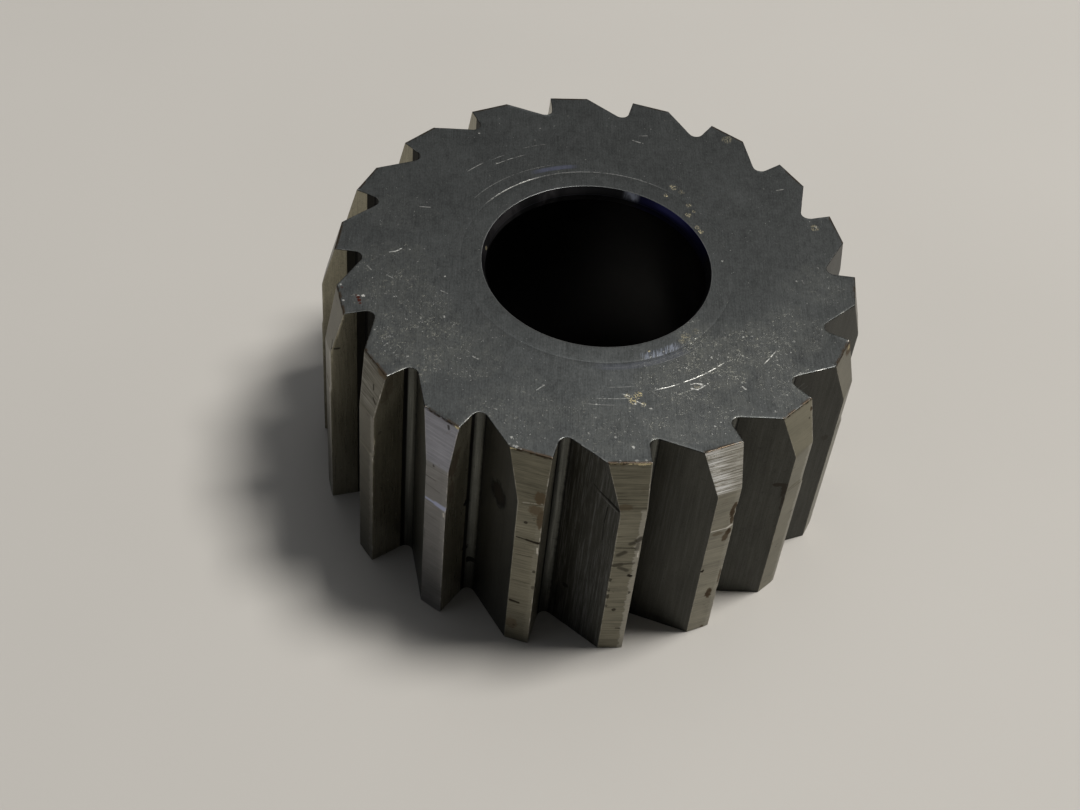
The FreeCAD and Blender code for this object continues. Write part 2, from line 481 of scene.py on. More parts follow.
def headMesh():
    teeth, face, base = head["teeth"], head["faceLevel"], 0.0
    rim, foot = head["rimRound"], head["baseRound"]
    blends = (0.1, 0.22, 0.36, 0.52, 0.68, 0.84, 1.0)
    flatInset = head["flatInset"]
    offTop = 9.0    # stands for no rim nearby
    offTeeth = 5.0    # stands for no tooth nearby
    # Outline rings from the leading face, over its rim, down the side and under: each has the height of
    # its section, its own height, its inset, its blend to a circle and its share of the burr
    rings = [(face, face, flatInset, blend, 0.0) for blend in reversed(blends)]
    rings += [(face, face, flatInset, 0, 0.0), (face, face, 0.11, 0, 0.4),
              (face, face - 0.004, 0.055, 0, 1.0),
              (face, face - 0.2 * rim, 0.024, 0, 0.8), (face - 0.5 * rim, face - 0.55 * rim, 0.006, 0, 0.2)]
    rings += [(z, z, 0.0, 0, 0.0) for z in sideHeights()]
    rings += [(base, base + 0.3 * foot, 0.3 * foot, 0, 0.0), (base, base, foot, 0, 0.0),
              (base, base, flatInset, 0, 0.0)]
    rings += [(base, base, flatInset, blend, 0.0) for blend in blends]
    section, level, inset, blend, burrShare = (np.array(column) for column in zip(*rings))

    # Wear along the edges
    wear = {name: np.full((teeth, len(rings)), head.get(name, 0.0)) for name in edgeWear}
    for tooth in range(teeth):
        rng = np.random.default_rng(head["nickSeed"] + tooth)
        for name, bites in edgeWear.items():
            wear[name][tooth] += nickProfile(section, rng, *bites)
    for tooth, edge, place, depth, reach in namedNicks:
        bite = depth * np.exp(-((section - place) / reach) ** 2)
        wear[edge + "Chip"][tooth] += bite * chipShare
        wear[edge + "Round"][tooth] += bite
    points, fromCut, fromHeel, fromFoot = outlineRings(section, inset, **wear)
    angles = (np.arange(teeth) * pitch)[:, None, None]
    points = turned(points, angles)
    count = points.shape[2]
    total = teeth * count

    def unrolled(values):
        return np.moveaxis(values, 0, 1).reshape((len(rings), total) + values.shape[3:])

    outline, fromCut, fromHeel, fromFoot = (unrolled(part) for part in (points, fromCut, fromHeel, fromFoot))
    rimRing = int(np.argmax((blend == 0) & (inset == flatInset)))
    rimAngle = np.unwrap(np.arctan2(outline[rimRing, :, 1], outline[rimRing, :, 0]))
    circle = head["blendRadius"] * np.stack([np.cos(rimAngle), np.sin(rimAngle)], -1)
    share = blend[:, None, None]
    flat = outline * (1 - share) + circle * share
    # The burr stands up a little along the rim
    rng = np.random.default_rng(head["burrSeed"])
    ripple = rng.normal(size=total)
    ripple = sum(np.roll(ripple, step) for step in range(-3, 4)) / 4
    burr = np.clip(ripple, 0, 1) * head["burrHeight"]
    height = level[:, None] + burrShare[:, None] * burr
    fromRim = np.where(level[:, None] > 10,
                       np.where(blend[:, None] > 0,
                                flatInset + np.linalg.norm(flat - outline, axis=-1),
                                inset[:, None] + 0 * height),
                       offTop)
    side = (inset == 0) & (blend == 0)
    fromRim[side] = (face - level[side])[:, None]

    # Circles of the faces and the bore, from the blend circle at the base, up the bore and out again
    mouth, bore, long, top = (head[name] for name in ("boreMouth", "boreRadius", "chamferLength", "height"))
    halfWay = (mouth + bore) / 2
    groove, half = head["faceRing"], head["ringHalfWidth"]
    baseCircles = [(r, base) for r in (15.4, 14.2, 12.9, 11.6, 10.4, 9.4, 8.95, mouth + 0.02)]
    lowerChamfer = [(mouth - 0.008, 0.012), (mouth - 0.03, 0.06), (halfWay, long / 2),
                    (bore + 0.012, long - 0.03),
                    (bore, long + 0.04)]
    boreWall = [(bore, z) for z in (1.5, 2.6, 3.6, 4.4, 6.0, 8.0, 10.0, 12.0, 14.0, 16.0, 18.0, 19.6)]
    upperChamfer = [(bore, top - long - 0.04), (bore + 0.012, top - long + 0.03), (halfWay, top - long / 2),
                    (mouth - 0.035, top - 0.08), (mouth - 0.022, face - 0.022), (mouth, face - 0.004)]
    topCircles = [(mouth + 0.03, face), (8.95, face), (9.4, face), (9.9, face), (groove - half * 1.6, face),
                  (groove - half, face - 0.002), (groove - half * 0.4, face - head["ringDepth"] * 0.7),
                  (groove, face - head["ringDepth"]), (groove + half * 0.4, face - head["ringDepth"] * 0.7),
                  (groove + half, face - 0.002), (groove + half * 1.6, face), (11.0, face), (11.9, face),
                  (13.0, face), (14.2, face), (15.4, face)]
    circles = baseCircles + lowerChamfer + boreWall + upperChamfer + topCircles
    radii, heights = (np.array(column) for column in zip(*circles))
    even = np.arange(total) * 2 * math.pi / total
    even += (rimAngle - even).mean()
    nearRim = np.clip((radii - 9.4) / (head["blendRadius"] - 9.4), 0, 1)[:, None]
    turns = even + (rimAngle - even) * nearRim
    roundPart = radii[:, None, None] * np.stack([np.cos(turns), np.sin(turns)], -1)
    allFlat = np.concatenate([flat, roundPart])
    allHeight = np.concatenate([height, np.broadcast_to(heights[:, None], roundPart.shape[:2])])
    extra = np.full(roundPart.shape[:2], offTeeth)
    onLand = np.array([1.0 if name == "land" else 0.0 for name in toothRegions()] * teeth)
    beforeRoot, afterRoot = toothRegions().index("root"), len(columns["back"])
    acrossRoot = np.array([0.0] * beforeRoot + list(np.linspace(0, 1, columns["root"])) + [1.0] * afterRoot)
    acrossRoot = np.tile(acrossRoot, teeth)
    values = {"fromCut": fromCut, "fromHeel": fromHeel, "fromFoot": fromFoot, "fromRim": fromRim}
    values = {name: np.concatenate([part, extra]) for name, part in values.items()}
    for name, part in (("landSide", onLand), ("acrossRoot", acrossRoot)):
        values[name] = np.concatenate([np.broadcast_to(part, fromRim.shape), 0 * extra])
    vertices = np.concatenate([allFlat, allHeight[..., None]], -1).reshape(-1, 3) * mm

    # Quads between each ring and the next, and round to the first
    ringCount = len(allFlat)
    ring, column = np.meshgrid(np.arange(ringCount), np.arange(total), indexing="ij")
    nextRing, nextColumn = (ring + 1) % ringCount, (column + 1) % total
    quads = np.stack([ring * total + column, nextRing * total + column,
                      nextRing * total + nextColumn, ring * total + nextColumn], -1).reshape(-1, 4)

    # Finish of each band of rings
    regions = toothRegions()
    bands = []
    for number in range(ringCount):
        if number < len(rings):
            isSide = side[number] or (level[number] > 10 and level[number] < face - 0.4 * rim)
            bands.append("side" if isSide else "face" if level[number] > 10 else "base")
        else:
            turn = number - len(rings)
            low = len(baseCircles) - 1
            chamferEnd = low + len(lowerChamfer)
            wallEnd = chamferEnd + len(boreWall) + 1
            mouthEnd = wallEnd + len(upperChamfer) - 1
            bands.append("base" if turn < low else "chamfer" if turn < chamferEnd else
                         "bore" if turn < wallEnd else "chamfer" if turn < mouthEnd else "face")
    slots = np.zeros((ringCount, total), np.int32)
    sideSlots = np.array([finishNames.index(name) for name in regions] * teeth)
    for number, band in enumerate(bands):
        slots[number] = sideSlots if band == "side" else finishNames.index(band)
    toothNumber = np.broadcast_to(np.repeat(np.arange(teeth), count), slots.shape).ravel()

    mesh = bpy.data.meshes.new("reamerHead")
    mesh.from_pydata(vertices.tolist(), [], quads.tolist())
    mesh.polygons.foreach_set("material_index", slots.ravel())
    mesh.polygons.foreach_set("use_smooth", np.ones(len(quads), bool))
    for name, numbers in values.items():
        layer = mesh.attributes.new(name, "FLOAT", "POINT")
        layer.data.foreach_set("value", numbers.astype(np.float32).ravel())
    # Single teeth have their own looks, and the rest random ones
    rng = np.random.default_rng(head["lookSeed"])
    looks = rng.uniform(toothLooks["least"], toothLooks["most"], (teeth, len(toothLooks["names"])))
    for tooth in range(teeth):
        looks[tooth] = toothLooks.get(tooth, looks[tooth])
    faceValues = {"toothNumber": toothNumber}
    faceValues.update({name: looks[toothNumber, place] for place, name in enumerate(toothLooks["names"])})
    for name, numbers in faceValues.items():
        layer = mesh.attributes.new(name, "FLOAT", "FACE")
        layer.data.foreach_set("value", numbers.astype(np.float32))
    mesh.update()
    return mesh


def drillSlots(piece):
    # Two closed slots in the drive face, with round ends and a small flare at the mouth
    half = head["slotWidth"] / 2
    straight = head["slotReach"] - half
    levels = [(-1.0, head["slotFlare"] + 1.0), (0.0, head["slotFlare"]), (head["slotFlare"], 0.0),
              (head["slotDepth"], 0.0)]
    turns = np.linspace(-math.pi / 2, math.pi / 2, 25)
    ring = [(straight + half * math.cos(a), half * math.sin(a), math.cos(a), math.sin(a)) for a in turns]
    ring += [(-x, -y, -nx, -ny) for x, y, nx, ny in ring]
    vertices = [((x + nx * grow) * mm, (y + ny * grow) * mm, z * mm) for z, grow in levels for x, y, nx,
                ny in ring]
    count = len(ring)
    faces = [(r * count + i, r * count + (i + 1) % count, (r + 1) * count + (i + 1) % count,
              (r + 1) * count + i)
             for r in range(len(levels) - 1) for i in range(count)]
    faces += [tuple(range(count))[::-1], tuple(range((len(levels) - 1) * count, len(levels) * count))]
    mesh = bpy.data.meshes.new("slotCutter")
    mesh.from_pydata(vertices, [], faces)
    cutter = bpy.data.objects.new("slotCutter", mesh)
    scene.collection.objects.link(cutter)
    cut = piece.modifiers.new("slots", "BOOLEAN")
    cut.object, cut.operation, cut.solver = cutter, "DIFFERENCE", "EXACT"
    applyModifiers(piece)
    bpy.data.objects.remove(cutter)


def applyModifiers(piece):
    graph = bpy.context.evaluated_depsgraph_get()
    mesh = bpy.data.meshes.new_from_object(piece.evaluated_get(graph))
    piece.modifiers.clear()
    piece.data = mesh


# The leading face has a straight fine grain, scratches that run round the bore, painted glints along its
# turned ring, specks and crumbs of dirt.
# Marks on it are given by x and y in millimetres, and arcs by their azimuth in degrees.
faceLook = {
    "steel": (0.136, 0.144, 0.142), "hazy": (0.150, 0.150, 0.126), "bright": (0.78, 0.78, 0.73),
    "dust": (0.30, 0.298, 0.245), "crumb": (0.47, 0.41, 0.24), "rust": (0.055, 0.012, 0.007),
    "burr": (0.075, 0.055, 0.037), "blued": (0.165, 0.18, 0.26), "tick": (0.42, 0.46, 0.55),
    "lighterCentre": (0.5, -10.5, 0.0),
    "roughness": 0.33, "metallic": 0.85, "bumpDepth": 0.006,
    # arcs near 10.5 mm are painted glints along the turned ring; the others are marks and scratches
    # azimuth, half length, radius, half width and strength
    "arcs": [
        (98, 46, 10.49, 0.050, 0.28), (128, 17, 10.46, 0.055, 0.80), (138, 9, 10.50, 0.035, 0.30),
        (125, 22, 11.58, 0.035, 0.30), (140, 7, 11.56, 0.030, 0.25), (-69, 4.4, 13.37, 0.055, 0.9),
        (-56, 11, 13.34, 0.055, 1.0), (-35.5, 3.6, 15.45, 0.050, 0.8), (121, 7, 13.35, 0.045, 0.5),
        (133, 4, 14.03, 0.045, 0.55), (110, 5, 14.16, 0.040, 0.30), (124, 3, 13.97, 0.040, 0.35),
        (-86, 6, 13.85, 0.040, 0.35), (-83, 5, 12.75, 0.035, 0.25), (-90, 5, 14.45, 0.035, 0.25),
        (-58, 14, 11.02, 0.035, 0.14), (-66, 14, 10.72, 0.030, 0.14), (-74, 18, 10.84, 0.035, 0.10),
        (-62, 6, 14.20, 0.040, 0.35),
    ],
    "combArc": [(-63, 11, 10.05, 0.45, 0.5)],
    "broadArcs": [
        (107, 11, 11.15, 0.30, 0.75), (-72, 24, 10.75, 0.42, 0.22), (-62, 10, 10.1, 0.50, 0.18),
    ],
    # start, end, width and strength
    "scratches": [
        ((6.57, -12.03), (6.95, -11.92), 0.11, 0.7), ((6.95, -11.92), (7.32, -11.99), 0.11, 0.7),
        ((6.67, -12.44), (7.04, -12.53), 0.11, 0.8), ((7.04, -12.53), (7.82, -11.90), 0.11, 0.8),
        ((10.31, -12.01), (10.54, -12.24), 0.15, 0.7), ((-15.75, -0.11), (-15.24, 0.03), 0.10, 0.8),
        ((-15.24, 0.03), (-14.87, 0.35), 0.12, 1.0), ((3.20, 14.73), (4.00, 14.42), 0.13, 0.6),
        ((3.81, 15.37), (4.41, 15.43), 0.12, 0.4), ((-13.71, 5.19), (-12.92, 5.19), 0.10, 0.5),
        ((14.64, 9.59), (15.19, 9.77), 0.12, 0.45), ((-17.33, -1.68), (-16.98, -2.12), 0.12, 0.35),
        ((-15.79, -2.57), (-15.3, -2.9), 0.09, 0.35), ((-4.51, -13.38), (-3.96, -12.85), 0.09, 0.4),
        ((-11.75, -3.90), (-11.2, -4.2), 0.09, 0.35), ((-9.12, -10.46), (-8.74, -10.68), 0.11, 0.45),
        ((2.6, -13.95), (3.2, -14.30), 0.12, 0.6), ((1.5, -13.3), (2.1, -13.5), 0.12, 0.55),
    ],
    # centre, half width and strength
    "brightSpots": [
        ((9.67, 0.98), 0.12, 0.6), ((10.4, 2.29), 0.10, 0.4), ((10.74, -7.0), 0.11, 0.7),
        ((17.11, 0.86), 0.10, 0.5), ((15.29, -0.74), 0.10, 0.5), ((14.51, -7.15), 0.15, 0.5),
        ((9.86, -11.1), 0.10, 0.5), ((3.62, -14.55), 0.12, 0.8), ((2.24, -18.23), 0.16, 0.7),
        ((-0.87, -17.16), 0.12, 0.4), ((-9.39, 14.46), 0.12, 0.8), ((-7.83, 10.88), 0.11, 0.8),
        ((-14.22, 0.33), 0.10, 0.6), ((-11.43, -2.37), 0.12, 0.8), ((-11.32, -6.64), 0.15, 0.6),
        ((17.45, 5.52), 0.16, 0.7), ((-10.94, -12.82), 0.10, 0.5), ((-6.2, -17.9), 0.14, 0.6),
        ((12.5, -14.2), 0.13, 0.4), ((4.6, -15.6), 0.10, 0.4), ((8.1, -15.9), 0.12, 0.5),
        ((-4.42, 15.55), 0.10, 0.4), ((1.0, -17.4), 0.11, 0.45), ((-13.8, -10.8), 0.13, 0.5),
        ((-16.3, -8.3), 0.13, 0.45),
    ],
    "clearSpots": [
        ((-17.38, -4.90), 0.18, 1.0), ((-17.75, -4.93), 0.12, 0.7), ((-19.12, -3.85), 0.12, 0.5),
        ((-18.80, -5.50), 0.12, 0.8), ((2.45, -19.42), 0.16, 0.3), ((3.1, -19.35), 0.12, 0.3),
        ((1.3, -19.5), 0.12, 0.3), ((-5.85, -18.7), 0.16, 0.5), ((-9.39, 14.46), 0.10, 0.6),
        ((-6.05, -18.62), 0.12, 0.4), ((-5.55, -18.9), 0.10, 0.4), ((10.74, -7.0), 0.10, 0.6),
        ((3.62, -14.55), 0.11, 0.6), ((2.24, -18.23), 0.14, 0.6), ((7.32, -11.97), 0.14, 0.9),
        ((6.62, -12.43), 0.12, 0.8), ((1.9, -13.4), 0.10, 0.8), ((2.5, -14.2), 0.12, 0.8),
    ],
    "crumbs": [
        ((2.35, -13.85), 0.42, 1.0), ((2.74, -13.35), 0.38, 1.0), ((2.0, -13.5), 0.30, 0.5),
        ((3.1, -14.2), 0.30, 0.5), ((5.64, 8.22), 0.20, 0.9), ((6.3, 9.2), 0.38, 0.5),
        ((6.88, 8.75), 0.30, 0.3), ((7.42, 7.1), 0.36, 0.45), ((7.3, 6.1), 0.38, 0.5),
        ((7.76, 6.5), 0.28, 0.4), ((8.2, 4.15), 0.26, 0.65), ((7.95, 4.65), 0.22, 0.45),
        ((3.66, -8.95), 0.16, 0.9), ((6.45, -7.3), 0.40, 0.35), ((7.3, -6.7), 0.34, 0.2),
        ((6.1, -7.8), 0.36, 0.3), ((7.0, -12.2), 0.30, 0.3), ((17.3, 5.4), 0.40, 0.4),
        ((11.04, 15.6), 0.50, 0.35),
    ],
    "rustSpots": [
        ((-17.72, -5.10), 0.20, 1.0), ((-17.66, -5.40), 0.22, 1.0), ((-17.55, -5.70), 0.15, 0.9),
        ((-17.9, -4.9), 0.14, 0.7), ((-19.0, -4.15), 0.14, 0.6),
    ],
    # cloudy patches of fine specks
    "hazyPatches": [
        ((-14.4, -5.2), 4.2, 0.62), ((-12.8, -9.4), 4.4, 0.75), ((-9.4, -10.2), 3.6, 0.5),
        ((-15.8, -1.6), 3.4, 0.5), ((5.6, -11.6), 3.6, 0.65), ((8.6, -9.8), 3.8, 0.9),
        ((11.6, -8.2), 3.4, 0.75), ((14.6, -6.2), 3.2, 0.5), ((9.0, -14.6), 3.4, 0.5),
        ((13.4, -11.5), 3.0, 0.55), ((7.0, -6.9), 1.8, 0.7), ((16.8, -1.0), 2.8, 0.4),
        ((0.5, -16.6), 3.6, 0.45), ((-6.0, -15.4), 4.2, 0.4), ((5.0, -15.8), 3.0, 0.5),
        ((-15.4, 4.4), 3.0, 0.25),
    ],
}


def onFace(marks):
    return [((*start, 0.0), (*end, 0.0), width, strength) for start, end, width, strength in marks]


def faceSpots(place, ragged, marks):
    return spotMarks(place, ragged, [
        ((*centre, 0.0), (size, size, 1.0), strength) for centre, size, strength in marks])


def arcMarks(turn, radius, marks):
    # marks that run round the bore: azimuth, half length, radius, half width and strength of each
    total = 0.0
    for azimuth, halfLength, ring, halfWidth, strength in marks:
        away = calc("ABSOLUTE", calc("SUBTRACT", turn, math.radians(azimuth)))
        across = calc("ABSOLUTE", calc("SUBTRACT", radius, ring))
        ends = ramp(away, math.radians(halfLength * 0.55), math.radians(halfLength), strength, 0.0)
        total = most(total, times(ends, fade(across, halfWidth * 0.4, halfWidth)))
    return total


def faceFinish():
    look = faceLook
    material, where = startFinish("groundFaceSteel")
    place = vectorCalc("MULTIPLY", where, (1.0, 1.0, 0.0))
    parts = axesOf(place)
    radius = vectorCalc("LENGTH", place, output=1)
    turn = calc("ARCTAN2", parts[1], parts[0])

    # Marks that run round the bore, partly painted glints along the turned ring, and straight scratches
    scratchAndGlint = arcMarks(turn, radius, look["arcs"])
    scratchAndGlint = most(scratchAndGlint, lineMarks(place, onFace(look["scratches"])))
    scratchAndGlint = times(scratchAndGlint, patches(place, 2.4, 0.34, 0.50, 3.0),
                    ramp(noiseAt(place, (5.0, 5.0, 1.0), 3, 0.7, 23.0), 0.36, 0.56, 0.45, 1.15))
    comb = times(arcMarks(turn, radius, look["combArc"]),
                 ramp(noiseAt(place, (9.0, 0.8, 1.0), 2, 0.5, 1.5), 0.49, 0.57))
    mottle = noiseAt(place, (1.5, 1.2, 1.0), 5, 0.68, 4.0)
    blued = times(arcMarks(turn, radius, look["broadArcs"]), ramp(mottle, 0.3, 0.6, 0.5, 1.0))

    # Specks are dense in the hazy patches and sparse elsewhere
    wideEdge = linear(noiseAt(place, (0.5, 0.5, 1.0), 4, 0.65, 3.0), 1.6, -0.8)
    hazy = faceSpots(place, wideEdge, look["hazyPatches"])
    fine = linear(hazy, 0.12, noiseAt(place, (5.2, 5.2, 1.0), 4, 0.75, 2.0))
    large = linear(hazy, 0.055, noiseAt(place, (2.6, 2.6, 1.0), 5, 0.8, 6.0))
    dust = most(times(ramp(fine, 0.62, 0.76), 0.55), times(ramp(large, 0.68, 0.76), 0.8))
    dust = times(dust, patches(place, 1.1, 0.36, 0.62, 8.0))
    flecks = linear(hazy, 0.07, noiseAt(place, (5.4, 4.4, 1.0), 3, 0.65, 11.0))
    bright = most(scratchAndGlint, times(ramp(flecks, 0.68, 0.74), patches(place, 0.6, 0.42, 0.6, 5.0), 0.6))
    crumb = times(faceSpots(place, wideEdge, look["crumbs"]),
                  ramp(noiseAt(place, (9.0, 5.5, 1.0), 3, 0.65, 7.0), 0.49, 0.56))
    fineEdge = linear(noiseAt(place, (7.0, 7.0, 1.0), 4, 0.75, 9.0), 4.6, -2.0)
    bright = most(bright, faceSpots(place, fineEdge, look["brightSpots"]))
    clearEdge = times(fineEdge, 0.35)
    bright = most(bright, faceSpots(place, clearEdge, look["clearSpots"]))
    rust = faceSpots(place, clearEdge, look["rustSpots"])

    # Rims: the bore's mouth carries a painted highlight, the gullets' rims are worn a little and carry a
    # painted highlight too, and dirty burrs stand along the lands
    fromRim, landSide = attribute("fromRim"), attribute("landSide")
    uneven = noiseAt(place, (0.9, 0.9, 1.0), 4, 0.7, 6.0)
    # painted highlight round the bore's mouth, stronger on the near side
    mouth = times(ramp(radius, head["boreMouth"] + 0.01, head["boreMouth"] + 0.06, 0.22, 0.0),
                  ramp(parts[1], 2.0, 5.0, 1.0, 0.1))
    # rims worn a little, with a painted highlight on them
    worn = times(fade(fromRim, 0.03, 0.09), ramp(uneven, 0.50, 0.66, 0.0, 0.24))
    bright = most(bright, mouth, worn)
    burr = times(fade(fromRim, 0.08, 0.25), ramp(uneven, 0.38, 0.56), landSide)

    grain = noiseAt(place, (11.0, 0.4, 1.0), 4, 0.65)
    grit = noiseAt(place, (8.0, 4.0, 1.0), 3, 0.7, 17.0)
    cloud = noiseAt(place, (0.2, 0.16, 1.0), 3, 0.55)
    tone = linear(grain, 0.6, linear(cloud, 0.45, -0.495))
    tone = linear(mottle, 0.6, linear(grit, 0.9, tone))
    tone = times(tone, ramp(fromRim, 0.02, 0.09, 0.45, 1.0))
    # the face is lighter, up to 1.2 times, near this point, fading out within 8 mm
    fromLighterCentre = vectorCalc("DISTANCE", place, look["lighterCentre"], output=1)
    tone = times(tone, ramp(fromLighterCentre, 1.0, 8.0, 1.2, 1.0))
    colour = scaled(look["steel"], tone)
    colour = paint(colour, look["hazy"], times(hazy, ramp(mottle, 0.30, 0.70), 0.35))
    colour = layered(colour, look, blued=blued, dust=dust, tick=comb, bright=bright, burr=burr,
                     crumb=crumb, rust=rust)
    matt = most(crumb, rust, times(hazy, 0.15), times(dust, 0.4))
    rough = linear(matt, 0.3, linear(grain, 0.10, look["roughness"] - 0.05))
    height = linear(grain, 0.5, times(most(dust, crumb), 1.6))
    height = calc("SUBTRACT", height, times(scratchAndGlint, 1.2))
    endFinish(colour, rough, height, look["bumpDepth"], look["metallic"])
    return material


# The ground lands have fine lines across them. A mark is given by its tooth, its distance from the
# cutting edge and its height, in millimetres.
landLook = {
    "steel": (0.154, 0.145, 0.109), "bright": (0.64, 0.62, 0.57), "dark": (0.030, 0.024, 0.016),
    "rust": (0.060, 0.036, 0.016), "stain": (0.115, 0.088, 0.055), "burr": (0.050, 0.034, 0.019),
    # the bluish colours here are painted reflections of bluish light, and the scored colour is a painted
    # glint
    "pale": (0.66, 0.58, 0.36), "blued": (0.205, 0.208, 0.235), "blueLine": (0.33, 0.36, 0.50),
    "scored": (0.92, 0.93, 0.94),
    "roughness": 0.38, "metallic": 0.9, "bumpDepth": 0.006,
    # tooth, start, end, width and strength
    "darkLines": [
        (14, (0.06, 13.80), (0.30, 13.55), 0.60, 0.75), (14, (0.30, 13.45), (0.75, 13.22), 0.46, 0.6),
        (14, (0.20, 13.20), (0.26, 12.60), 0.34, 0.5), (14, (1.77, 12.80), (0.33, 12.76), 0.13, 0.7),
        (14, (1.52, 11.95), (1.10, 12.30), 0.50, 0.65), (14, (1.68, 10.70), (1.20, 10.85), 0.50, 0.65),
        (14, (1.20, 10.85), (0.29, 11.00), 0.26, 0.55), (14, (1.30, 10.45), (0.72, 10.10), 0.44, 0.6),
        (14, (0.72, 2.69), (0.45, 2.69), 0.16, 0.9), (13, (1.70, 12.80), (0.90, 12.75), 0.15, 0.95),
        (13, (0.95, 12.75), (0.02, 12.66), 0.26, 1.0), (13, (1.60, 10.77), (0.40, 10.92), 0.12, 0.5),
        (13, (1.70, 7.62), (0.40, 7.66), 0.10, 0.45), (13, (1.70, 5.00), (1.05, 4.92), 0.30, 1.0),
        (13, (1.6, 16.60), (0.05, 16.95), 0.12, 0.35), (14, (2.0, 17.25), (0.1, 17.20), 0.22, 0.30),
        (11, (1.0, 19.35), (0.85, 19.05), 0.20, 0.8), (11, (0.62, 18.45), (0.20, 18.20), 0.16, 0.8),
        (10, (0.35, 17.95), (0.02, 17.45), 0.18, 0.9), (16, (1.75, 12.78), (0.2, 12.72), 0.10, 0.35),
        (12, (1.95, 15.45), (1.0, 15.35), 0.12, 0.5), (12, (1.8, 14.5), (0.6, 14.3), 0.10, 0.4),
    ],
    "brightLines": [
        (15, (1.80, 12.80), (0.50, 12.72), 0.12, 1.0), (15, (0.50, 12.72), (0.10, 12.86), 0.20, 1.0),
        (13, (1.5, 16.78), (0.10, 17.06), 0.10, 0.30), (15, (3.0, 20.86), (1.6, 20.84), 0.24, 1.0),
        (15, (1.8, 20.86), (0.1, 20.82), 0.16, 0.8), (15, (2.75, 20.50), (1.9, 20.47), 0.22, 0.9),
        (15, (2.20, 19.63), (1.30, 19.48), 0.20, 0.9), (15, (2.30, 19.20), (1.85, 19.15), 0.20, 0.9),
        (15, (2.05, 17.95), (1.75, 17.90), 0.22, 0.9), (15, (2.1, 18.55), (1.0, 18.35), 0.14, 0.6),
        (14, (0.13, 12.35), (0.10, 11.70), 0.16, 0.8), (13, (0.10, 12.10), (0.06, 11.50), 0.14, 0.8),
        (12, (0.14, 12.35), (0.10, 11.95), 0.16, 0.7),
    ],
    # painted reflection of bluish light on the step of tooth 12
    "bluedLines": [(12, (1.80, 12.92), (0.90, 12.88), 0.26, 1.0),
                   (12, (0.90, 12.88), (0.0, 12.80), 0.46, 1.0)],
    # tooth, centre, half sizes and strength
    "rustSpots": [
        (15, (0.20, 15.0), (0.24, 0.6), 0.9), (15, (0.26, 14.3), (0.26, 0.6), 0.9),
        (15, (0.14, 13.5), (0.20, 0.6), 0.8), (15, (0.32, 12.2), (0.30, 0.45), 0.9),
        (15, (0.50, 11.6), (0.30, 0.6), 0.6), (15, (1.2, 12.3), (0.6, 0.3), 0.3),
        (15, (0.10, 6.6), (0.12, 1.2), 0.4), (15, (0.70, 4.7), (0.34, 0.75), 0.9),
        (15, (0.58, 0.11), (0.2, 0.3), 0.5), (13, (0.36, 17.5), (0.5, 0.7), 0.45),
        (13, (0.5, 16.2), (0.7, 0.7), 0.40), (13, (0.16, 15.3), (0.30, 1.3), 0.5),
        (13, (1.4, 2.1), (0.6, 0.9), 0.30), (16, (0.12, 20.1), (0.14, 0.25), 0.8),
        (17, (0.3, 20.5), (0.8, 0.6), 0.7), (11, (0.5, 20.8), (0.8, 0.3), 0.5),
        (14, (1.6, 17.3), (0.7, 0.35), 0.30),
    ],
    "darkSpots": [
        (14, (0.42, 9.46), (0.24, 0.20), 1.0), (14, (1.15, 5.15), (0.20, 0.22), 0.8),
        (13, (1.17, 14.62), (0.18, 0.20), 0.8), (15, (1.74, 7.98), (0.12, 0.20), 1.0),
        (12, (0.74, 20.53), (0.16, 0.22), 0.7), (12, (1.26, 16.87), (0.12, 0.16), 0.6),
        (14, (1.78, 8.9), (0.14, 0.26), 0.7), (14, (1.78, 7.6), (0.12, 0.2), 0.6),
        (14, (1.78, 6.9), (0.14, 0.34), 0.7), (14, (1.78, 5.6), (0.12, 0.22), 0.5),
        (14, (0.24, 7.3), (0.12, 0.26), 0.7), (13, (0.16, 9.2), (0.16, 0.22), 0.7),
        (13, (0.1, 7.3), (0.14, 0.3), 0.5), (16, (0.34, 19.44), (0.10, 0.14), 0.6),
        (13, (1.19, 1.94), (0.12, 0.14), 0.5),
    ],
    "paleSpots": [
        (12, (0.14, 20.93), (0.30, 0.16), 1.0), (14, (0.6, 20.93), (1.1, 0.15), 1.0),
        (13, (2.9, 20.95), (0.45, 0.12), 0.9), (14, (2.5, 20.95), (0.6, 0.07), 0.5),
        (17, (0.3, 20.6), (0.3, 0.2), 0.5),
    ],
}

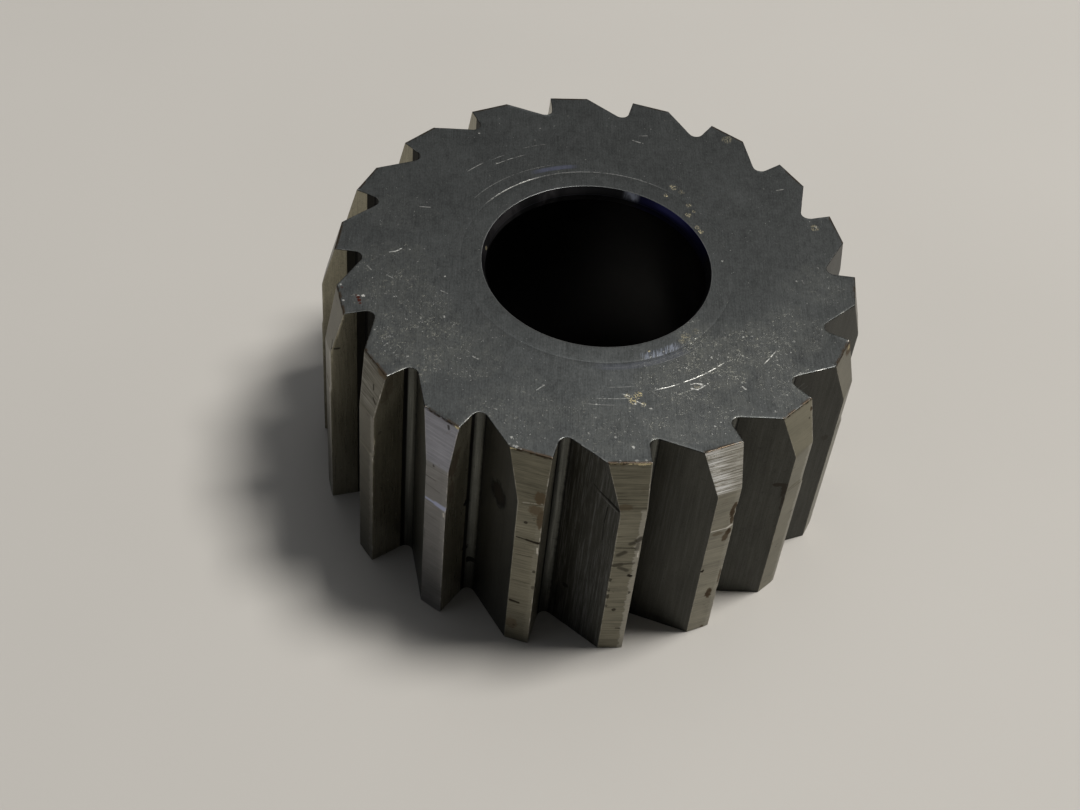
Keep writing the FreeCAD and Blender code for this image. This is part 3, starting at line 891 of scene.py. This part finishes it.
# What sets single teeth apart: how light the land and its lead are, partly painted light as each mirrors a
# differently lit floor, how far the lines on it rise across the land, how bright its margin is, how blue its
# lead is (a painted reflection of bluish light), how deeply its lead is scratched (with painted glints), how
# clear its lines are, and how wide the painted shade at the foot of its rake face is.
# Teeth that the photograph doesn't show take random values between the first two rows.
toothLooks = {
    "names": ("landTone", "leadTone", "slant", "margin", "blue", "cross", "contrast", "footShade"),
    "least": (0.80, 0.75, -0.06, 0.05, 0.0, 0.0, 0.4, 0.1), "most": (1.15, 1.2, 0.06, 0.35, 0.25, 0.25, 1.0,
                                                                     0.6),
    6: (0.95, 0.95, 0.02, 0.15, 0.1, 0.0, 0.7, 0.62), 7: (0.95, 0.90, 0.02, 0.15, 0.1, 0.0, 0.7, 0.62),
    8: (0.90, 0.90, 0.00, 0.20, 0.1, 0.0, 0.7, 0.64), 9: (0.90, 0.85, 0.00, 0.20, 0.1, 0.0, 0.7, 0.62),
    10: (0.80, 0.80, 0.00, 0.30, 0.1, 0.0, 0.8, 0.60), 11: (0.70, 0.70, 0.00, 0.15, 0.1, 0.1, 0.8, 0.11),
    12: (1.08, 1.30, -0.02, 0.03, 1.0, 0.0, 0.6, 0.11),
    13: (1.12, 1.00, -0.06, 0.05, 0.0, 0.0, 0.95, 0.11), 14: (1.08, 0.94, 0.02, 0.26, 0.0, 0.0, 1.0, 0.11),
    15: (1.42, 1.85, 0.06, 0.08, 0.15, 1.0, 0.75, 0.11),
    16: (1.20, 1.50, 0.03, 0.18, 0.0, 0.0, 0.35, 0.11), 17: (1.03, 1.08, 0.05, 0.12, 0.0, 0.0, 0.35, 0.11),
}


# Marks and noise lie in a space where the teeth are far apart, so that a mark stays on its tooth
toothGap = 10.0
noisePerGap = 0.37


def toothLines(place, marks):
    return lineMarks(place, [
        ((start[0], tooth * toothGap, start[1]), (end[0], tooth * toothGap, end[1]), width, strength)
        for tooth, start, end, width, strength in marks])


def toothSpots(place, ragged, marks):
    return spotMarks(place, ragged, [
        ((centre[0], tooth * toothGap, centre[1]), (size[0], 1.0, size[1]), strength)
        for tooth, centre, size, strength in marks])


def toothNoise(where, across, up, detail, rough, shift=0.0):
    return noiseAt(where, (across, noisePerGap, up), detail, rough, shift)


def landFinish():
    look = landLook
    material, where = startFinish("groundLandSteel")
    fromCut, fromHeel, fromRim, tooth = attributes("fromCut", "fromHeel", "fromRim", "toothNumber")
    looks = attributes(*toothLooks["names"][:-1])    # all but the last, which belongs to the rake
    landTone, leadTone, slant, margin, blue, cross, contrast = looks
    height = axesOf(where)[2]
    apart = times(tooth, toothGap)
    place = joined(fromCut, apart, height)
    lead = ramp(height, head["leadStart"] - 0.25, head["leadStart"] + 0.1)
    slope = times(slant, ramp(lead, 0.0, 1.0, 1.0, 0.35))
    lineHeight = calc("SUBTRACT", height, times(slope, fromCut))
    onLines = joined(fromCut, apart, lineHeight)
    lines = toothNoise(onLines, 0.20, 5.5, 5, 0.75)
    thin = toothNoise(onLines, 0.4, 13.0, 4, 0.7, 4.0)
    broad = toothNoise(onLines, 0.4, 0.45, 3, 0.6, 8.0)
    blotch = toothNoise(onLines, 2.2, 2.0, 4, 0.65, 2.0)
    ragged = linear(noiseAt(place, (4.0, 1.0, 4.0), 4, 0.7, 9.0), 2.2, -1.1)

    below = calc("SUBTRACT", 1.0, lead)
    broken = ramp(blotch, 0.40, 0.60)
    # scratches across the lead of some teeth, painted as bright glints
    scored = times(ramp(linear(thin, 0.5, times(lines, 0.6)), 0.48, 0.64), cross, lead)
    marginWidth = linear(toothNoise(onLines, 0.2, 2.4, 5, 0.75, 15.0), 0.9, -0.08)
    marginSide = fade(calc("SUBTRACT", fromCut, marginWidth), -0.06, 0.04)
    margins = times(marginSide, margin, below)
    edgeWear = ramp(toothNoise(onLines, 1.0, 1.2, 4, 0.75, 5.0), 0.45, 0.65, 0.0, 0.55)
    edge = times(fade(fromCut, 0.01, 0.08), most(edgeWear, times(margin, 0.9)))
    heel = times(fade(fromHeel, 0.01, 0.05), broken, 0.2)
    brightLine = times(toothLines(place, look["brightLines"]), ramp(blotch, 0.32, 0.46))
    bright = most(times(scored, 0.75), edge, heel, margins, brightLine)
    wavy = vectorCalc("ADD", place, joined(z=times(ragged, 0.06)))
    darkLine = toothLines(wavy, look["darkLines"])
    pits = times(ramp(toothNoise(onLines, 2.6, 3.6, 3, 0.6, 21.0), 0.70, 0.76), 0.7)
    dashes = times(ramp(toothNoise(onLines, 0.7, 4.4, 3, 0.6, 25.0), 0.66, 0.74), 0.55)
    dark = most(darkLine, toothSpots(place, ragged, look["darkSpots"]), pits, dashes)
    rust = toothSpots(place, times(ragged, 0.5), look["rustSpots"])
    freckles = times(ramp(toothNoise(onLines, 0.9, 0.8, 5, 0.7, 12.0), 0.60, 0.74), 0.4)
    burr = times(fade(fromRim, 0.08, 0.22), ramp(blotch, 0.40, 0.60, 0.25, 0.95),
                 calc("SUBTRACT", 1.0, cross))
    pale = toothSpots(place, ragged, look["paleSpots"])
    # painted reflection of bluish light along the step of tooth 12
    blueLine = toothLines(place, look["bluedLines"])

    clearLines = linear(lines, 1.5, linear(thin, 1.5, -1.5))
    tone = linear(clearLines, contrast, linear(broad, 0.6, 0.70))
    # partly painted light: each tooth's land and lead are made lighter or darker as they mirror a differently
    # lit floor
    tone = times(tone, mixValue(lead, landTone, leadTone))
    colour = scaled(look["steel"], tone)
    # painted reflection of bluish light on the lands, strongest on the leads
    bluishReflection = scaled(look["blued"], tone)
    colour = mixColour(times(blue, mixValue(lead, 0.55, 1.0)), colour, bluishReflection)
    colour = layered(
        colour, look, blueLine=blueLine, bright=bright,
        scored=times(scored, ramp(fromHeel, 0.6, 1.8, 1.0, 0.2), 0.9),
        stain=most(ramp(rust, 0.0, 0.5), freckles),
        rust=times(ramp(rust, 0.5, 1.0), ramp(blotch, 0.38, 0.56, 0.15, 0.9)),
        dark=dark, burr=burr, pale=pale)
    matt = most(rust, dark, burr)
    rough = linear(matt, 0.3, linear(lines, 0.2, look["roughness"] - 0.1))
    bump = linear(lines, 0.8, times(thin, 0.5))
    bump = calc("SUBTRACT", bump, times(dark, 1.2))
    bump = linear(scored, 1.5, bump)
    endFinish(colour, rough, bump, look["bumpDepth"], look["metallic"])
    return material


# The flanks of the gullets are milled, with streaks along the teeth. A mark is given by its gullet, which
# has the number of the tooth whose rake face it holds, its distance from the edge and its height.
flankLook = {
    "rake": {"steel": (0.245, 0.228, 0.170), "streak": (0.36, 0.34, 0.27), "metallic": 0.85,
             "roughness": 0.29, "streaks": 0.2},
    "back": {"steel": (0.040, 0.040, 0.034), "streak": (0.115, 0.118, 0.118), "metallic": 0.85,
             "roughness": 0.45, "streaks": 0.12},
    "root": {"steel": (0.080, 0.082, 0.072), "streak": (0.19, 0.19, 0.17), "metallic": 0.85,
             "roughness": 0.40, "streaks": 0.35},
    "worn": (0.30, 0.29, 0.26), "dark": (0.006, 0.0055, 0.005), "brown": (0.024, 0.019, 0.013),
    "redBrown": (0.085, 0.035, 0.018), "bumpDepth": 0.008, "streakyGullet": 13,
    # gullet, centre, half sizes and strength
    "rakeSpots": [
        (10, (2.23, 20.0), (0.22, 0.22), 0.9), (10, (2.24, 19.5), (0.16, 0.35), 0.9),
        (10, (0.4, 17.4), (0.3, 0.12), 0.8), (11, (0.5, 15.2), (0.2, 0.25), 0.5),
        (12, (2.55, 11.2), (0.35, 0.5), 1.0), (12, (2.75, 5.5), (0.35, 0.45), 1.0),
        (12, (3.15, 3.8), (0.25, 0.4), 1.0), (12, (2.7, 8.6), (0.25, 0.5), 0.7),
    ],
    "backSpots": [
        (12, (2.45, 14.85), (1.25, 1.55), 1.0), (13, (3.7, 4.8), (0.34, 0.30), 0.9),
        (10, (2.2, 15.0), (0.4, 0.6), 0.5),
    ],
    "stains": [(12, (2.50, 14.95), (0.85, 1.1), 0.75)],
    "redSpots": [(12, (0.6, 17.4), (0.6, 1.8), 0.55), (12, (0.45, 14.6), (0.45, 1.6), 0.45),
                 (11, (0.5, 19.5), (0.6, 1.4), 0.3)],
    "brownSpots": [
        (15, (0.60, 13.6), (0.75, 0.26), 1.0), (15, (0.22, 13.0), (0.28, 0.9), 1.0),
        (15, (0.12, 11.8), (0.18, 1.3), 0.9), (16, (0.8, 12.6), (0.3, 0.4), 0.6),
    ],
    # gullet, start, end, width and strength
    "darkLines": [
        (13, (2.02, 17.97), (1.57, 17.60), 0.14, 0.6), (13, (1.57, 17.60), (0.90, 17.35), 0.22, 0.8),
        (13, (0.90, 17.35), (0.16, 16.98), 0.36, 0.9), (13, (1.11, 16.54), (1.20, 14.72), 0.12, 0.7),
        (13, (1.20, 14.72), (1.11, 12.80), 0.10, 0.5),
    ],
    "lightLines": [
        (13, (1.87, 17.41), (1.19, 17.08), 0.15, 0.5), (13, (1.19, 17.08), (0.30, 16.72), 0.16, 0.8),
        (13, (3.58, 12.1), (3.58, 11.95), 0.14, 0.8), (16, (4.0, 19.1), (2.8, 19.9), 0.12, 0.5),
        (16, (3.6, 18.9), (2.6, 19.5), 0.10, 0.4),
    ],
}


def flankFinish(name, side):
    # side is "rake", "back" or "root"
    look, kind = flankLook, flankLook[side]
    material, where = startFinish(name)
    away = attribute("fromHeel" if side == "back" else "fromCut")
    fromRim, fromFoot, acrossRoot, gulletNumber = attributes("fromRim", "fromFoot", "acrossRoot",
                                                             "toothNumber")
    height = axesOf(where)[2]
    apart = times(gulletNumber, toothGap)
    place = joined(away, apart, height)
    across = times(acrossRoot, 1.2) if side == "root" else fromFoot
    straight = joined(across, apart, height)
    streaks = toothNoise(straight, 3.6, 0.09, 6, 0.75)
    thin = toothNoise(straight, 13.0, 0.35, 4, 0.65, 4.0)
    broad = toothNoise(straight, 0.8, 0.20, 3, 0.55, 7.0)
    mottle = toothNoise(place, 2.6, 2.0, 5, 0.7, 3.0)
    grit = toothNoise(place, 9.0, 7.0, 3, 0.7, 13.0)
    ragged = linear(noiseAt(place, (2.6, 1.0, 2.2), 4, 0.7, 9.0), 2.4, -1.2)
    streaky = calc("COMPARE", gulletNumber, look["streakyGullet"], 0.5)
    strength = linear(streaky, 0.7, kind["streaks"]) if side == "back" else kind["streaks"]
    light = times(ramp(streaks, 0.43, 0.57), ramp(thin, 0.44, 0.58), strength)
    edge = times(fade(away, 0.01, 0.06), ramp(mottle, 0.42, 0.62, 0.0, 0.4))
    top = times(fade(fromRim, 0.03, 0.08), ramp(mottle, 0.50, 0.66, 0.0, 0.12))
    tone = linear(streaks, 0.7, linear(grit, 0.8, -0.35))
    tone = linear(broad, 0.8, linear(thin, 0.6, tone))
    tone = linear(streaky, calc("SUBTRACT", streaks, 0.65), tone)
    tone = times(tone, ramp(fromRim, 0.02, 0.10, 0.5, 1.0))
    dark = times(ramp(mottle, 0.58, 0.70), 0.25)
    if side == "rake":
        # a painted highlight line at the foot of the rake face, and the painted shade band that ends there
        foot = times(ramp(fromFoot, 0.20, 0.26), fade(fromFoot, 0.30, 0.36), 0.35)
        light = most(light, foot)
        pastFoot = calc("SUBTRACT", fromFoot, attribute("footShade"))
        dark = most(dark, ramp(pastFoot, -0.03, 0.03, 0.95, 0.0),
                    toothSpots(place, ragged, look["rakeSpots"]))
    elif side == "back":
        # painted shade: the back flank is darker towards the root of the gullet
        tone = times(tone, ramp(away, 1.0, 5.2, 1.1, 0.75))
        light = most(light, toothLines(place, look["lightLines"]))
        dark = most(dark, toothSpots(place, times(ragged, 0.4), look["backSpots"]),
                    toothLines(place, look["darkLines"]))
    else:
        # a painted shade line beside the rake face, and then a lighter strip with dark pits, its lightness a
        # painted reflection; painted shade over the root where the rake's foot is shaded
        uneven = linear(mottle, 0.22, calc("SUBTRACT", acrossRoot, 0.11))
        dark = most(toothSpots(place, ragged, look["rakeSpots"]),
                    fade(acrossRoot, 0.16, 0.26), times(ramp(uneven, 0.76, 0.94), 0.85),
                    times(ramp(mottle, 0.60, 0.70), 0.5), ramp(attribute("footShade"), 0.3, 0.4, 0.0, 0.85))
    colour = scaled(kind["steel"], tone)
    if side == "rake":
        colour = paint(colour, look["redBrown"], toothSpots(place, ragged, look["redSpots"]))
    colour = paint(colour, kind["streak"], light)
    colour = paint(colour, look["worn"], most(edge, top) if side != "root" else top)
    colour = paint(colour, look["dark"], dark)
    if side == "back":
        brown = most(toothSpots(place, ragged, look["brownSpots"]),
                     toothSpots(place, times(ragged, 0.3), look["stains"]))
        colour = paint(colour, look["brown"], brown)
    bump = linear(streaks, 0.8, linear(thin, 0.5, times(grit, 0.4)))
    bump = calc("SUBTRACT", bump, dark)
    rough = linear(dark, 0.25, linear(thin, 0.16, kind["roughness"] - 0.08))
    endFinish(colour, rough, bump, look["bumpDepth"], kind["metallic"])
    return material


# The bore and its chamfers are turned: fine rings run round them. Heights are in millimetres.
boreLook = {
    # painted reflection of the room on the chamfer: lit reddish grey arcs, a bluish tint, painted glints, and
    # a painted highlight on the rim
    "chamfer": (0.034, 0.034, 0.036), "lit": (0.125, 0.118, 0.125), "blued": (0.020, 0.020, 0.075),
    "bright": (0.42, 0.45, 0.58),
    "tick": (0.80, 0.85, 1.0), "litArcs": [(126, 168, 14, 0.9), (108, 124, 5, 0.9), (92, 112, 8, 0.25),
                                           (158, 200, 12, 0.5)],
    # the wall's near-black is painted shade
    "crumb": (0.85, 0.75, 0.50), "shadedWall": (0.0030, 0.0030, 0.0033),
    # azimuths in degrees: from, to and how soft the ends are
    "blueReflectionArc": (6, 72, 10), "tickGlintArc": (65, 76, 4), "farShadeArc": (35, 160, 15),
    # heights between which each change takes place
    "bandFoot": (19.82, 19.85), "tickFoot": (20.25, 20.55), "chamferFoot": (20.36, 20.39),
    "rim": (20.93, 20.96),
    # strength of the painted highlight on the rim
    "rimGlintStrength": 0.22, "crumbSpot": [((-8.5, 1.45, 20.5), (0.3, 0.22, 0.16), 0.9)],
    "roughness": 0.33, "metallic": 0.85, "bumpDepth": 0.003,
}


def boreFinish(name, isChamfer):
    look = boreLook
    material, where = startFinish(name)
    parts = axesOf(where)
    height = parts[2]
    turn = calc("ARCTAN2", parts[1], parts[0])
    rolled = joined(calc("SINE", turn), calc("COSINE", turn), height)
    rings = noiseAt(rolled, (1.2, 1.2, 7.0), 4, 0.65)
    cloud = noiseAt(rolled, (2.4, 2.4, 0.5), 4, 0.65, 5.0)
    tone = linear(rings, 0.6, linear(cloud, 0.9, 0.25))

    def between(low, high, soft):
        # 1 between two azimuths in degrees
        return times(ramp(turn, math.radians(low), math.radians(low + soft)),
                     fade(turn, math.radians(high - soft), math.radians(high)))

    # The top of the bore and its chamfer carry a painted reflection of the room: reddish lit arcs on the
    # left, blue on the right, and painted glints between
    upper = ramp(height, *look["bandFoot"])
    tickGlints = times(ramp(noiseAt(rolled, (16.0, 16.0, 1.0), 3, 0.6, 2.0), 0.42, 0.60, 0.3, 1.0),
                  ramp(height, *look["tickFoot"]))
    plain = scaled(look["chamfer"], tone)
    colour = plain
    facets = ramp(noiseAt(rolled, (9.0, 9.0, 0.6), 3, 0.6, 8.0), 0.40, 0.60, 0.3, 1.0)
    for low, high, soft, strength in look["litArcs"]:
        colour = paint(colour, look["lit"], times(between(low, high, soft), facets, strength))
    colour = paint(colour, look["blued"], between(*look["blueReflectionArc"]))
    colour = paint(colour, look["tick"], times(between(*look["tickGlintArc"]), tickGlints, 0.75))
    if isChamfer:
        colour = mixColour(upper, plain, colour)
        # a painted highlight round the rim of the mouth, and painted shade over the rim on the far side
        rimBand = ramp(height, *look["rim"])
        far = between(*look["farShadeArc"])
        colour = paint(colour, look["chamfer"], times(rimBand, far))
        mouth = times(rimBand, calc("SUBTRACT", look["rimGlintStrength"], times(far, look["rimGlintStrength"])))
        # a painted highlight at the foot of the chamfer
        foot = times(fade(height, *look["chamferFoot"]), upper, 0.12)
        colour = paint(colour, look["bright"], most(mouth, foot))
        crumb = spotMarks(where, linear(cloud, 1.6, -0.8), look["crumbSpot"])
        colour = paint(colour, look["crumb"], crumb)
    else:
        # painted shade: the bore below its top band is near-black
        colour = mixColour(upper, scaled(look["shadedWall"], tone), colour)
    rough = linear(cloud, 0.2, look["roughness"] - 0.1)
    endFinish(colour, rough, rings, look["bumpDepth"], look["metallic"])
    return material


# The drive face is turned too
baseLook = {
    "steel": (0.070, 0.070, 0.067), "worn": (0.20, 0.20, 0.185), "roughness": 0.48, "metallic": 0.85,
    "bumpDepth": 0.006,
}


def baseFinish():
    look = baseLook
    material, where = startFinish("driveFaceSteel")
    radius = vectorCalc("LENGTH", vectorCalc("MULTIPLY", where, (1.0, 1.0, 0.0)), output=1)
    deep = axesOf(where)[2]
    rings = noiseAt(joined(x=radius, z=deep), (5.0, 1.0, 3.0), 4, 0.7)
    cloud = noiseAt(where, (0.3, 0.3, 0.3), 3, 0.6, 5.0)
    scuff = ramp(noiseAt(where, (0.5, 6.0, 1.0), 4, 0.7, 2.0), 0.60, 0.72, 0.0, 0.5)
    tone = linear(rings, 0.7, linear(cloud, 0.5, 0.4))
    colour = paint(scaled(look["steel"], tone), look["worn"], scuff)
    rough = linear(cloud, 0.2, look["roughness"] - 0.1)
    endFinish(colour, rough, rings, look["bumpDepth"], look["metallic"])
    return material


finishes = {
    "face": faceFinish(),
    "land": landFinish(),
    "rake": flankFinish("rakeSteel", "rake"),
    "root": flankFinish("rootSteel", "root"),
    "back": flankFinish("backSteel", "back"),
    "chamfer": boreFinish("chamferSteel", True),
    "bore": boreFinish("boreSteel", False),
    "base": baseFinish(),
}

reamer = bpy.data.objects.new("reamerHead", headMesh())
scene.collection.objects.link(reamer)
for name in finishNames:
    reamer.data.materials.append(finishes[name])
print("head meshed", len(reamer.data.polygons), "faces")
drillSlots(reamer)
print("slots cut", len(reamer.data.polygons), "faces")
reamer.data.set_sharp_from_angle(angle=math.radians(head["sharpAngle"]))
weights = reamer.modifiers.new("flatFaces", "WEIGHTED_NORMAL")
weights.keep_sharp = True
weights.weight = 80
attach(reamer, "root")
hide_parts("reamer_head")


# Pale floor
floorLook = {"size": 6.0, "colour": (0.470, 0.456, 0.428, 1), "roughness": 0.7, "lampReach": 900.0,
             "lit": 1.08}


def addFloor():
    size = floorLook["size"] / 2
    mesh = bpy.data.meshes.new("floor")
    mesh.from_pydata([(-size, -size, 0), (size, -size, 0), (size, size, 0), (-size, size, 0)], [],
                     [(0, 1, 2, 3)])
    floor = bpy.data.objects.new("floor", mesh)
    scene.collection.objects.link(floor)
    material, where = startFinish("paleFloor")
    cloud = noiseAt(where, (0.02, 0.02, 0.02), 3, 0.5)
    colour = scaled(floorLook["colour"][:3], ramp(cloud, 0.2, 0.8, 0.98, 1.02))
    shader = endFinish(colour, floorLook["roughness"], cloud, 0.0, 0.0, 0.2)
    # The lamps' light fades far out. There the camera sees an even pale floor all the same.
    spread = calc("DIVIDE", vectorCalc("LENGTH", where, output=1), floorLook["lampReach"])
    fall = calc("POWER", linear(spread, spread, 1.0), -2.0)
    rays = addNode("LightPath").outputs
    seen = most(rays["Is Camera Ray"], rays["Is Glossy Ray"], rays["Is Transmission Ray"])
    lost = times(calc("SUBTRACT", 1.0, fall), seen, floorLook["lit"])
    link(colour, shader.inputs["Emission Color"])
    link(lost, shader.inputs["Emission Strength"])
    mesh.materials.append(material)


addFloor()

# Lamps: direction towards each lamp, its distance and size in metres, power in watts
lamps = {
    "keyLamp": {"from": (0.393, 0.105, 0.914), "distance": 0.9, "size": 0.22, "power": 8.5,
                "colour": (1.0, 0.97, 0.93)},
    "skyLamp": {"from": (0.0, 0.30, 0.95), "distance": 1.2, "size": 0.8, "power": 1.95,
                "colour": (0.97, 0.98, 1.0)},
    "leftLamp": {"from": (-0.9, -0.3, 0.35), "distance": 1.2, "size": 0.7, "power": 0.8,
                 "colour": (0.85, 0.9, 1.0)},
}


def addLamps():
    for name, lamp in lamps.items():
        data = bpy.data.lights.new(name, "AREA")
        data.energy = lamp["power"]
        data.size = lamp["size"]
        data.color = lamp["colour"]
        made = bpy.data.objects.new(name, data)
        direction = Vector(lamp["from"]).normalized()
        made.location = direction * lamp["distance"]
        made.rotation_euler = direction.to_track_quat("Z", "Y").to_euler()
        scene.collection.objects.link(made)


addLamps()

worldStrength = 0.05
world = bpy.data.worlds.new("studio")
scene.world = world
world.use_nodes = True
building["tree"] = world.node_tree
building["tree"].nodes.clear()
background = addNode("Background", {0: (1.0, 1.0, 1.0, 1), 1: worldStrength})
addNode("OutputWorld", {0: background.outputs[0]})
scene.view_settings.view_transform = "Standard"
print("floor and lamps placed")
